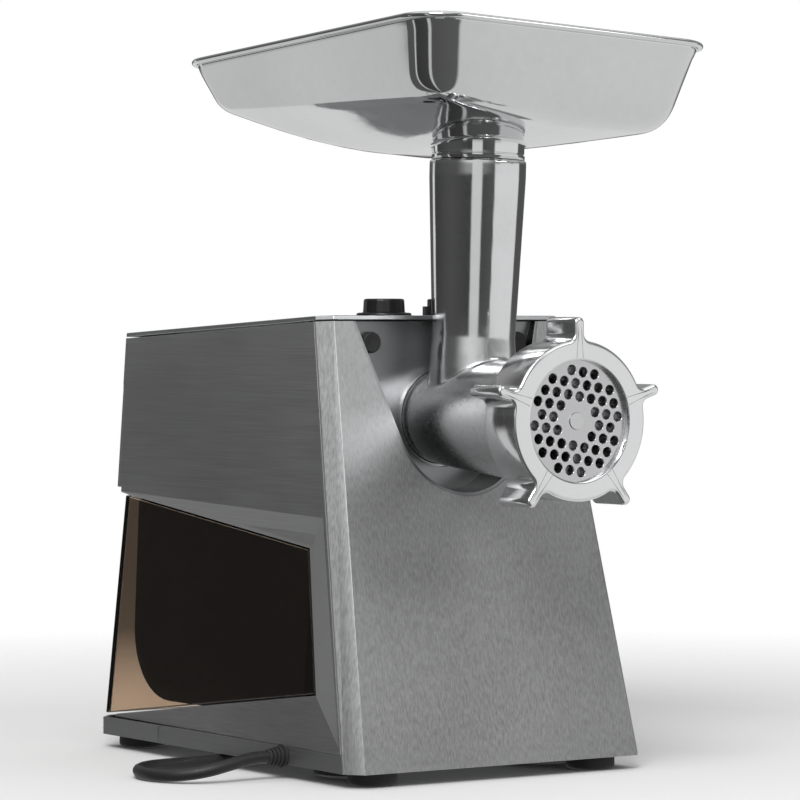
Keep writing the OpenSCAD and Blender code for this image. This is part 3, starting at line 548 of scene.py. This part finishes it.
def pan_outline(side, front, rear, corner):
    """The tray's rounded rectangle, drawn in at the sides, front and rear, seen from above."""
    x = TRAY_W / 2 - side - corner
    low, high = -TRAY_FRONT + front + corner, TRAY_L - TRAY_FRONT - rear - corner
    centres = [(x, low, -90), (x, high, 0), (-x, high, 90), (-x, low, 180)]
    arcs = [arc(cx, cy, corner, start, start + 90, CORNER_STEPS) for cx, cy, start in centres]
    outline = []
    for i, points in enumerate(arcs):
        outline += points
        a, b = points[-1], arcs[(i + 1) % 4][0]
        outline += [(a[0] + (b[0] - a[0]) * k / EDGE_STEPS, a[1] + (b[1] - a[1]) * k / EDGE_STEPS)
                    for k in range(1, EDGE_STEPS)]
    return outline


TILT = Matrix.Rotation(TRAY_TILT[1], 3, "Y") @ Matrix.Rotation(TRAY_TILT[0], 3, "X")


def tray_point(x, y, z):
    """A point of the tilted pan, measured from the rim's plane over the feed tube."""
    p = TILT @ Vector((x, y, z))
    return head_point(p.x, TUBE_Y + p.y, TRAY_H + p.z)


def mixed(a, b, t):
    return tuple(p + (q - p) * t for p, q in zip(a, b))


def frontness(y):
    """1 at the tray's front wall and 0 at its rear wall."""
    return (TRAY_L - TRAY_FRONT - y) / TRAY_L


def crease_depth(x, y):
    """How far the foot of the wall lies below the rim: more at the front, most in its middle."""
    sag = max(0, 1 - ((x - 10) / 70) ** 2) * ease(frontness(y), 0.6, 0.95)
    return CREASE_REAR + CREASE_FALL * frontness(y) + CREASE_SAG * sag + CREASE_LEAN * x


CREASE = pan_outline(11.5, 15, 9.5, 17)


def dish_depth(x, y):
    """Depth of the bowl-shaped bottom, from the foot of the walls down to the dish's centre."""
    bx, by = DISH_CENTRE
    dx, dy = x - bx, y - by
    if dx * dx + dy * dy < 1e-9:
        return DISH
    for (ax, ay), (cx, cy) in zip(CREASE, CREASE[1:] + CREASE[:1]):
        ex, ey = cx - ax, cy - ay
        cross = dx * ey - dy * ex
        if abs(cross) < 1e-12:
            continue
        reach = ((ax - bx) * ey - (ay - by) * ex) / cross
        along = ((ax - bx) * dy - (ay - by) * dx) / cross
        if reach > 0 and -1e-9 <= along <= 1 + 1e-9:
            edge = crease_depth(ax + ex * along, ay + ey * along)
            return edge + (DISH - edge) * math.sin((1 - min(1, 1 / reach)) * math.pi / 2)
    return DISH


def spout_height(x, y):
    """Height over the barrel axis where the dish meets a post at (x, y) from the feed tube's axis."""
    height = TRAY_H - DISH
    for _ in range(4):
        p = TILT.transposed() @ Vector((x, y, height - TRAY_H))
        height = TRAY_H + (TILT @ Vector((p.x, p.y, -dish_depth(p.x, p.y)))).z
    return height


def around_spout(angles, out, heights):
    """A ring round the feed tube, out from the spout's wall, at a height for each angle."""
    r = SPOUT_R + out
    return [head_point(r * math.cos(a), TUBE_Y + r * math.sin(a), h) for a, h in zip(angles, heights)]


def make_tray_pan():
    """The stamped pan: wall, crease, dished bottom and the collar that enters the feed tube."""
    wall_top = [(x, y, -1.2) for x, y in pan_outline(0.9, 0.9, 0.9, 20)]
    lip = [(x, y, -3) for x, y in pan_outline(1.25, 1.25, 1.25, 20)]
    turn = [(x, y, -5.2) for x, y in pan_outline(1.95, 2.05, 1.95, 19.7)]
    knee = [(x, y, -7.6) for x, y in pan_outline(2.9, 3.1, 2.9, 19.3)]
    foot = [(x, y, -crease_depth(x, y)) for x, y in CREASE]
    around = [math.atan2(y, x) for x, y in CREASE]
    ends = []
    for a in around:
        c, s = (SPOUT_R + SPOUT_FLARE) * math.cos(a), (SPOUT_R + SPOUT_FLARE) * math.sin(a)
        p = TILT.transposed() @ Vector((c, s, spout_height(c, s) - TRAY_H))
        ends.append((p.x, p.y))

    def bottom(i, t):
        """A point of the bottom at station i: the foot of the wall at 0 and the spout at 1."""
        x, y = mixed(foot[i][:2], ends[i], t)
        return (x, y, -dish_depth(x, y))

    rings = [wall_top, lip, turn, knee]
    stations = range(len(foot))
    bends = [0.30 + 0.06 * frontness(foot[i][1]) for i in stations]
    for t in (0.35, 0.7, 0.9, 1):
        rings.append([mixed(knee[i], mixed(knee[i], foot[i], 1 - bends[i]), t) for i in stations])
    reach = [(6 + 6 * frontness(foot[i][1])) / math.dist(foot[i][:2], ends[i]) for i in stations]
    for t in (0.12, 0.25, 0.38, 0.5, 0.62, 0.75, 0.88, 1):
        ring = []
        for i in stations:
            start, end = mixed(knee[i], foot[i], 1 - bends[i]), bottom(i, reach[i])
            ring.append(mixed(mixed(start, foot[i], t), mixed(foot[i], end, t), t))
        rings.append(ring)
    for t in (0.1, 0.22, 0.34, 0.46, 0.58, 0.7, 0.82, 0.92, 1):
        rings.append([bottom(i, reach[i] + (1 - reach[i]) * t) for i in stations])
    rings = [[tray_point(*p) for p in ring] for ring in rings]
    flare = SPOUT_R + SPOUT_FLARE
    tops = [spout_height(flare * math.cos(a), flare * math.sin(a)) for a in around]
    for out, drop in ((1.0, 0.15), (0.5, 0.5), (0.15, 1.0), (0, 1.7)):
        rings.append(around_spout(around, out, [max(h - drop, SPOUT_FOOT + 3.6) for h in tops]))
    for out, h in ((0, 3.2), (-0.5, 3.0), (-0.5, 2.6), (0.25, 2.3), (0.25, 0.3), (0, 0)):
        rings.append(around_spout(around, out, [SPOUT_FOOT + h] * len(around)))
    mesh = mesh_of("tray_pan", *loft(rings), 42)
    pan = new_piece("tray_pan", mesh, "tray", "tray_steel", "tray_steel", "hopper_tray")
    thick = pan.modifiers.new("sheet", "SOLIDIFY")
    thick.thickness = SHEET * MM
    thick.offset = -1


def make_tray_rim():
    """The rolled bead round the pan's edge."""
    bead = []
    for k in range(14):
        a = k * math.pi / 7
        out = BEAD_OUT + BEAD_R * math.cos(a)
        bead.append([tray_point(x, y, BEAD_Z + BEAD_R * math.sin(a))
                     for x, y in pan_outline(-out, -out, -out, 21 + out)])
    mesh = mesh_of("tray_rim", *loft(bead, closed=True), 80)
    new_piece("tray_rim", mesh, "tray", "tray_steel", "tray_steel")


def make_tray_spout():
    """The sleeve under the pan, which stands in the feed tube's mouth."""
    profile = [(19.7, -12), (20.8, -12), (20.8, 0), (22.4, 1), (22.4, 3), (21.6, 4), (19.7, 2)]
    points, faces = turned([(r, SPOUT_FOOT + h) for r, h in profile], 72)
    sleeve = mesh_of("tray_spout", [head_point(x, TUBE_Y + y, z) for x, y, z in points], faces)
    new_piece("tray_spout", sleeve, "tray", "tray_steel", "tray_steel")


# ---------------------------------------------------------------- head

RING_FACE = -189
TUBE_TOP = 128.3


def solid(name, points, faces):
    """A bare object for a boolean, in the row frame."""
    o = bpy.data.objects.new(name, mesh_of(name, points, faces))
    scene.collection.objects.link(o)
    return o


def cut(target, tool, operation):
    modifier = target.modifiers.new("cut", "BOOLEAN")
    modifier.operation = operation
    modifier.object = tool
    modifier.solver = "EXACT"
    bake(target)
    bpy.data.objects.remove(tool)


def bake(o):
    """Applies an object's modifiers to its mesh."""
    bpy.context.view_layer.update()
    made = bpy.data.meshes.new_from_object(o.evaluated_get(bpy.context.evaluated_depsgraph_get()))
    o.modifiers.clear()
    o.data = made


def make_head():
    barrel = turned([(0.2, -46.5), (23.2, -46.5), (23.5, -47), (23.5, -52), (23.5, -76), (24.4, -77.5),
                     (31.6, -158), (34.4, -162), (34.4, -178), (0.2, -178)], 96, "Y")
    upright = (0, TUBE_Y, 0)
    tube = turned([(0.2, -2), (19.1, 0), (24.1, TUBE_TOP - 9), (24.1, TUBE_TOP), (0.2, TUBE_TOP)], 96,
                  centre=upright)
    root = turned([(0.2, 0), (21.8, 0), (21.8, 24), (21.4, 32), (20.8, 40), (0.2, 40)], 96,
                  centre=upright)
    bore = turned([(0.2, -80), (21.5, -80), (21.5, -164), (29.5, -171), (29.5, -179), (0.2, -179)], 96, "Y")
    throat = turned([(0.2, 0), (17, 0), (21.4, TUBE_TOP - 14), (21.4, TUBE_TOP + 3), (0.2, TUBE_TOP + 3)],
                    96, centre=upright)
    neck_bore = turned([(0.2, -84), (12, -84), (12, -44), (0.2, -44)], 64, "Y")
    placed = [([head_point(*p) for p in points], faces) for points, faces in
              (barrel, tube, root, bore, throat, neck_bore)]
    head = solid("head_casting", *placed[0])
    cut(head, solid("tube", *placed[1]), "UNION")
    cut(head, solid("root", *placed[2]), "UNION")
    remesh = head.modifiers.new("remesh", "REMESH")
    remesh.mode = "VOXEL"
    remesh.voxel_size = 0.8 * MM
    smooth = head.modifiers.new("smooth", "SMOOTH")
    smooth.factor = 0.5
    smooth.iterations = 8
    bake(head)
    for name, shape in zip(("bore", "throat", "neck_bore"), placed[3:]):
        cut(head, solid(name, *shape), "DIFFERENCE")
    head.data.shade_smooth()
    head.data.set_sharp_from_angle(angle=math.radians(50))
    head.data.materials.clear()
    head.data.materials.append(LOOKS["cast_aluminium"])
    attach(head, "head")
    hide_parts("grinder_head")


LUGS = 5
LUG_R = 50
LUG_TIP = 2.8
RING_R = 38.8
LUG_FILLET = 4


def ring_outline(inset):
    """Outline of the ring nut with its lugs, drawn in by inset, as (x, z) from the barrel axis."""
    body, tip, fillet = RING_R - inset, LUG_TIP - inset, LUG_FILLET + inset
    side = LUG_TIP + LUG_FILLET
    out = math.sqrt((RING_R + LUG_FILLET) ** 2 - side ** 2)
    lean = math.degrees(math.atan2(side, out))
    gap = 360 / LUGS
    sector = arc(0, 0, body, -gap / 2, -lean, 8)[:-1]
    sector += arc(out, -side, fillet, 180 - lean, 90, 8)
    sector += arc(LUG_R - LUG_TIP, 0, tip, -90, 90, 12)
    sector += arc(out, side, fillet, -90, -180 + lean, 8)
    sector += arc(0, 0, body, lean, gap / 2, 8)[1:-1]
    points = []
    for i in range(LUGS):
        a = math.radians(90 + i * gap)
        points += [(x * math.cos(a) - y * math.sin(a), x * math.sin(a) + y * math.cos(a)) for x, y in sector]
    return points


def make_ring():
    outline = ring_outline(0)
    turn = [math.atan2(z, x) for x, z in outline]

    def circle(r, y):
        return [(r * math.cos(a), y, AXIS_Z + r * math.sin(a)) for a in turn]

    def shape(inset, y):
        return [(x, y, AXIS_Z + z) for x, z in ring_outline(inset)]

    rings = [circle(34.6, -164.4), circle(34.6, -178), circle(31.35, -178), circle(31.35, -186.1),
             circle(29.4, -186.1), circle(29.4, -188.5), circle(29.55, -188.85), circle(29.9, RING_FACE),
             circle(30.4, RING_FACE), shape(2.0, RING_FACE), shape(1.3, RING_FACE), shape(0.9, -188.93),
             shape(0.4, -188.6), shape(0.1, -188.1), shape(0, -187.6), shape(0, -165.4), shape(0.3, -164.7),
             shape(0.9, -164.4)]
    mesh = mesh_of("ring_casting", *loft(rings, closed=True), 38)
    new_piece("ring_casting", mesh, "ring", "polished_ring", "ring_metal", "ring_nut")


# ---------------------------------------------------------------- controls and feet

KNOB = (19.4, -48)
ROOF_FRONT = (-75.5, 229)
ROOF_LENGTH = 193.5
ROOF_FALL = 9
KNOB_BASE = ROOF_FRONT[1] - ROOF_FALL * (KNOB[1] - ROOF_FRONT[0]) / ROOF_LENGTH
FACETS = 20


def faceted_cap(x, base, profile, steps=120):
    """A round cap whose wall is cut into shallow upright facets; profile is (radius, height, facet share)."""
    rings = []
    for r, h, share in profile:
        ring = []
        for k in range(steps):
            a = 2 * math.pi * k / steps
            inside = (a * FACETS / (2 * math.pi)) % 1 - 0.5
            flat = math.cos(math.pi / FACETS) / math.cos(inside * 2 * math.pi / FACETS)
            radius = r * (1 - share + share * flat)
            ring.append((x + radius * math.cos(a), KNOB[1] + radius * math.sin(a), base + h))
        rings.append(ring)
    return loft(rings, closed=True)


def make_controls():
    knob = faceted_cap(-KNOB[0], KNOB_BASE, [
        (0.2, 0.9, 0), (13.4, 0.9, 0), (13.9, 1.2, 0), (14, 1.8, 0), (13.7, 2.4, 0), (12.9, 2.7, 0),
        (11, 2.8, 0), (10.6, 3.1, 1), (10.45, 6, 1), (10.3, 8.8, 1), (10.0, 9.4, 0.6), (9.3, 9.75, 0),
        (8.4, 9.8, 0), (0.2, 9.6, 0)])
    stem = turned([(0.2, 214.5), (3, 214.5), (3, KNOB_BASE + 1), (0.2, KNOB_BASE + 1)], 24, "Z",
                  (-KNOB[0], KNOB[1], 0))
    mesh = mesh_of("knob_cap", *joined(knob, stem), 12)
    new_piece("knob_cap", mesh, "knob", "black_plastic", "black_plastic", "control_knob")
    top = [(6.5, 5.5), (10.2, 5.5), (10.2, 9), (10, 9.5), (9.4, 9.8), (8, 9.6), (0.2, 9.2)]
    profile = [(0.2, 219), (6.5, 219)] + [(r, KNOB_BASE + h) for r, h in top]
    button = turned(profile, 64, "Z", (*KNOB, 0))
    mesh = mesh_of("button_cap", button[0], button[1], 30)
    new_piece("button_cap", mesh, "release", "black_plastic", "black_plastic", "release_button")


SPRING_LOW = 1.2
SPRING_HIGH = 5.1
SPRING_TURNS = 3
SPRING_STEPS = 32
SPRING_R = 8.05
WIRE_OUT = 0.4
WIRE_UP = 0.3
WIRE_SIDES = 8


def make_spring():
    """The release button's coil spring, on a mesh of its own."""
    steps = SPRING_STEPS * SPRING_TURNS
    rings = []
    for k in range(steps + 1):
        a = 2 * math.pi * SPRING_TURNS * k / steps
        z = KNOB_BASE + SPRING_LOW + (SPRING_HIGH - SPRING_LOW) * k / steps
        sides = [i * math.pi / 4 for i in range(WIRE_SIDES)]
        wire = [(SPRING_R + WIRE_OUT * math.cos(b), z + WIRE_UP * math.sin(b)) for b in sides]
        rings.append([(KNOB[0] + r * math.cos(a), KNOB[1] + r * math.sin(a), h) for r, h in wire])
    points, faces = loft(rings)
    last = WIRE_SIDES * steps
    faces += [tuple(range(WIRE_SIDES)), tuple(range(last, last + WIRE_SIDES))]
    mesh = mesh_of("spring_wire", points, faces, 60)
    spring = new_piece("spring_wire", mesh, "casing", "bright_steel", "steel", "latch_spring")
    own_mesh(spring)


def make_feet():
    profile = [(0.2, 0), (10.2, 0), (11.3, 0.3), (12.2, 1.1), (12.5, 2.1), (12.4, 5), (12.1, 6.95),
               (0.2, 6.95)]
    places = ((-66, -108), (66, -108), (-70, 108), (70, 108))
    parts = [turned(profile, 64, "Z", (x, y, 0)) for x, y in places]
    mesh = mesh_of("feet_rubber", *joined(*parts), 40)
    new_piece("feet_rubber", mesh, "casing", "rubber", "rubber", "rubber_feet")


SCREW_CAP_X = 44.5
SCREW_CAP_Z = 215.5


def make_screw_caps():
    profile = [(0.2, -75.0), (1.6, -75.1), (3.6, -75.6), (4.6, -75.7), (5.15, -75.3), (5.35, -74.6),
               (5.35, -72), (2.4, -72), (2.4, -64), (0.2, -64)]
    parts = [turned(profile, 48, "Y", (side * SCREW_CAP_X, 0, SCREW_CAP_Z)) for side in (-1, 1)]
    mesh = mesh_of("screw_covers", *joined(*parts), 40)
    new_piece("screw_covers", mesh, "casing", "rubber", "rubber", "screw_caps")


# ---------------------------------------------------------------- studio


FLOOR_R = 3
FLOOR_Z = -0.0002
FADE = (0.35, 0.9)
LIGHTS_AIM = Vector((0, 0, 0.15))


def make_floor():
    """A pale paper disc that fades out with distance from the machine."""
    floor = bpy.data.meshes.new("floor")
    turn = [k * math.pi / 48 for k in range(96)]
    edge = [(FLOOR_R * math.cos(a), FLOOR_R * math.sin(a), FLOOR_Z) for a in turn]
    floor.from_pydata(edge, [], [tuple(range(len(edge)))])
    stage = bpy.data.objects.new("floor", floor)
    scene.collection.objects.link(stage)
    paper = Shader("paper")
    paper.colour(paper.shade((0.86, 0.86, 0.86), paper.spread(paper.noise(3), 0.99, 1.01)))
    paper.set(Roughness=0.9)
    reach = paper.node("ShaderNodeVectorMath", operation="LENGTH")
    paper.link(paper.place, reach.inputs[0])
    paper.link(paper.spread(reach.outputs["Value"], 1, 0, *FADE), paper.bsdf.inputs["Alpha"])
    floor.materials.append(paper.material)
    stage.visible_glossy = False


def make_world():
    """The room that the steel reflects: bands of light and dark all round, and white to the camera."""
    world = bpy.data.worlds.new("studio")
    world.use_nodes = True
    scene.world = world
    tree = world.node_tree
    link = tree.links.new
    background = tree.nodes["Background"]
    direction = tree.nodes.new("ShaderNodeTexCoord").outputs["Generated"]
    split = tree.nodes.new("ShaderNodeSeparateXYZ")
    link(direction, split.inputs[0])
    back = tree.nodes.new("ShaderNodeMath")
    back.operation = "MULTIPLY"
    back.inputs[1].default_value = -1
    link(split.outputs["Y"], back.inputs[0])
    heading = tree.nodes.new("ShaderNodeMath")
    heading.operation = "ARCTAN2"
    link(split.outputs["X"], heading.inputs[0])
    link(back.outputs[0], heading.inputs[1])
    share = tree.nodes.new("ShaderNodeMapRange")
    share.inputs["From Min"].default_value = -math.pi
    share.inputs["From Max"].default_value = math.pi
    link(heading.outputs[0], share.inputs["Value"])

    def ramp(stops, source):
        made = tree.nodes.new("ShaderNodeValToRGB")
        made.color_ramp.interpolation = "EASE"
        elements = made.color_ramp.elements
        while len(elements) < len(stops):
            elements.new(0.5)
        for element, (place, value) in zip(elements, stops):
            element.position = place
            element.color = (value, value, value, 1)
        link(source, made.inputs["Fac"])
        return made.outputs["Color"]

    def around(*stops):
        """Brightness against heading in degrees: 0 is in front of the machine and 90 at its right."""
        return ramp([((d + 180) / 360, v) for d, v in stops], share.outputs["Result"])

    below = around((-180, 0.62), (-144, 0.62), (-141, 0.1), (-120, 0.1), (-116, 0.75), (-112, 0.05),
                   (-75, 0.06), (-71, 0.6), (-66, 0.6), (-62, 0.1), (18, 0.12), (28, 0.68), (180, 0.75))
    walls = around((-180, 0.1), (-173, 0.1), (-170, 0.85), (-162, 0.85), (-158, 0.06), (-100, 0.09),
                   (-50, 0.06), (-46, 0.75), (-25, 0.75), (-22, 0.08), (5, 0.1), (10, 0.85), (80, 0.85),
                   (84, 0.1), (180, 0.1))
    above = around((-180, 0.3), (-150, 0.1), (-90, 0.12), (-50, 0.8), (-20, 0.7), (10, 0.2), (60, 0.2),
                   (100, 0.3), (180, 0.3))

    def blend(low, high, start, end):
        """low below the height start and high above end, both from -1 to 1."""
        made = tree.nodes.new("ShaderNodeMix")
        made.data_type = "RGBA"
        stops = [((start + 1) / 2, 0), ((end + 1) / 2, 1)]
        link(ramp(stops, map_up(tree, split.outputs["Z"])), made.inputs["Factor"])
        link(low, made.inputs["A"])
        link(high, made.inputs["B"])
        return made.outputs["Result"]

    sky = tree.nodes.new("ShaderNodeRGB").outputs["Color"]
    sky.default_value = (0.95, 0.95, 0.95, 1)
    room = blend(blend(blend(below, walls, -0.2, -0.06), above, 0.04, 0.14), sky, 0.6, 0.85)
    seen = tree.nodes.new("ShaderNodeMix")
    seen.data_type = "RGBA"
    link(tree.nodes.new("ShaderNodeLightPath").outputs["Is Camera Ray"], seen.inputs["Factor"])
    link(room, seen.inputs["A"])
    seen.inputs["B"].default_value = (1, 1, 1, 1)
    link(seen.outputs["Result"], background.inputs["Color"])


def map_up(tree, height):
    """A direction's height from -1 to 1 as 0 to 1."""
    made = tree.nodes.new("ShaderNodeMapRange")
    made.inputs["From Min"].default_value = -1
    tree.links.new(height, made.inputs["Value"])
    return made.outputs["Result"]


def softbox(name, place, size, power):
    data = bpy.data.lights.new(name, "AREA")
    data.size = size
    data.energy = power
    light = bpy.data.objects.new(name, data)
    light.location = place
    light.rotation_euler = (LIGHTS_AIM - Vector(place)).to_track_quat("-Z", "Y").to_euler()
    scene.collection.objects.link(light)


def make_studio():
    make_floor()
    make_world()
    softbox("key", (-1.3, -1.3, 1.7), 1.0, 34)
    softbox("panel", (0.34, -0.74, 0.62), 0.34, 0.75)
    scene.view_settings.view_transform = "Standard"


# ---------------------------------------------------------------- build

make_camera()
dress_nodes()
lead = make_cord()
gland = make_gland()
plug = make_plug()
pins = make_plug_pins()

make_tray_pan()
make_tray_rim()
make_tray_spout()
make_head()
make_ring()
make_controls()
make_spring()
make_feet()
make_screw_caps()

for name in ("front_panel", "left_side_panel", "right_side_panel", "rear_panel", "head_recess"):
    soften(name, 0.5)
for name in ("top_cover", "base_plate", "smoked_cover", "motor_cover"):
    soften(name, 0.7)
soften("cutting_plate", 0.25)

make_studio()
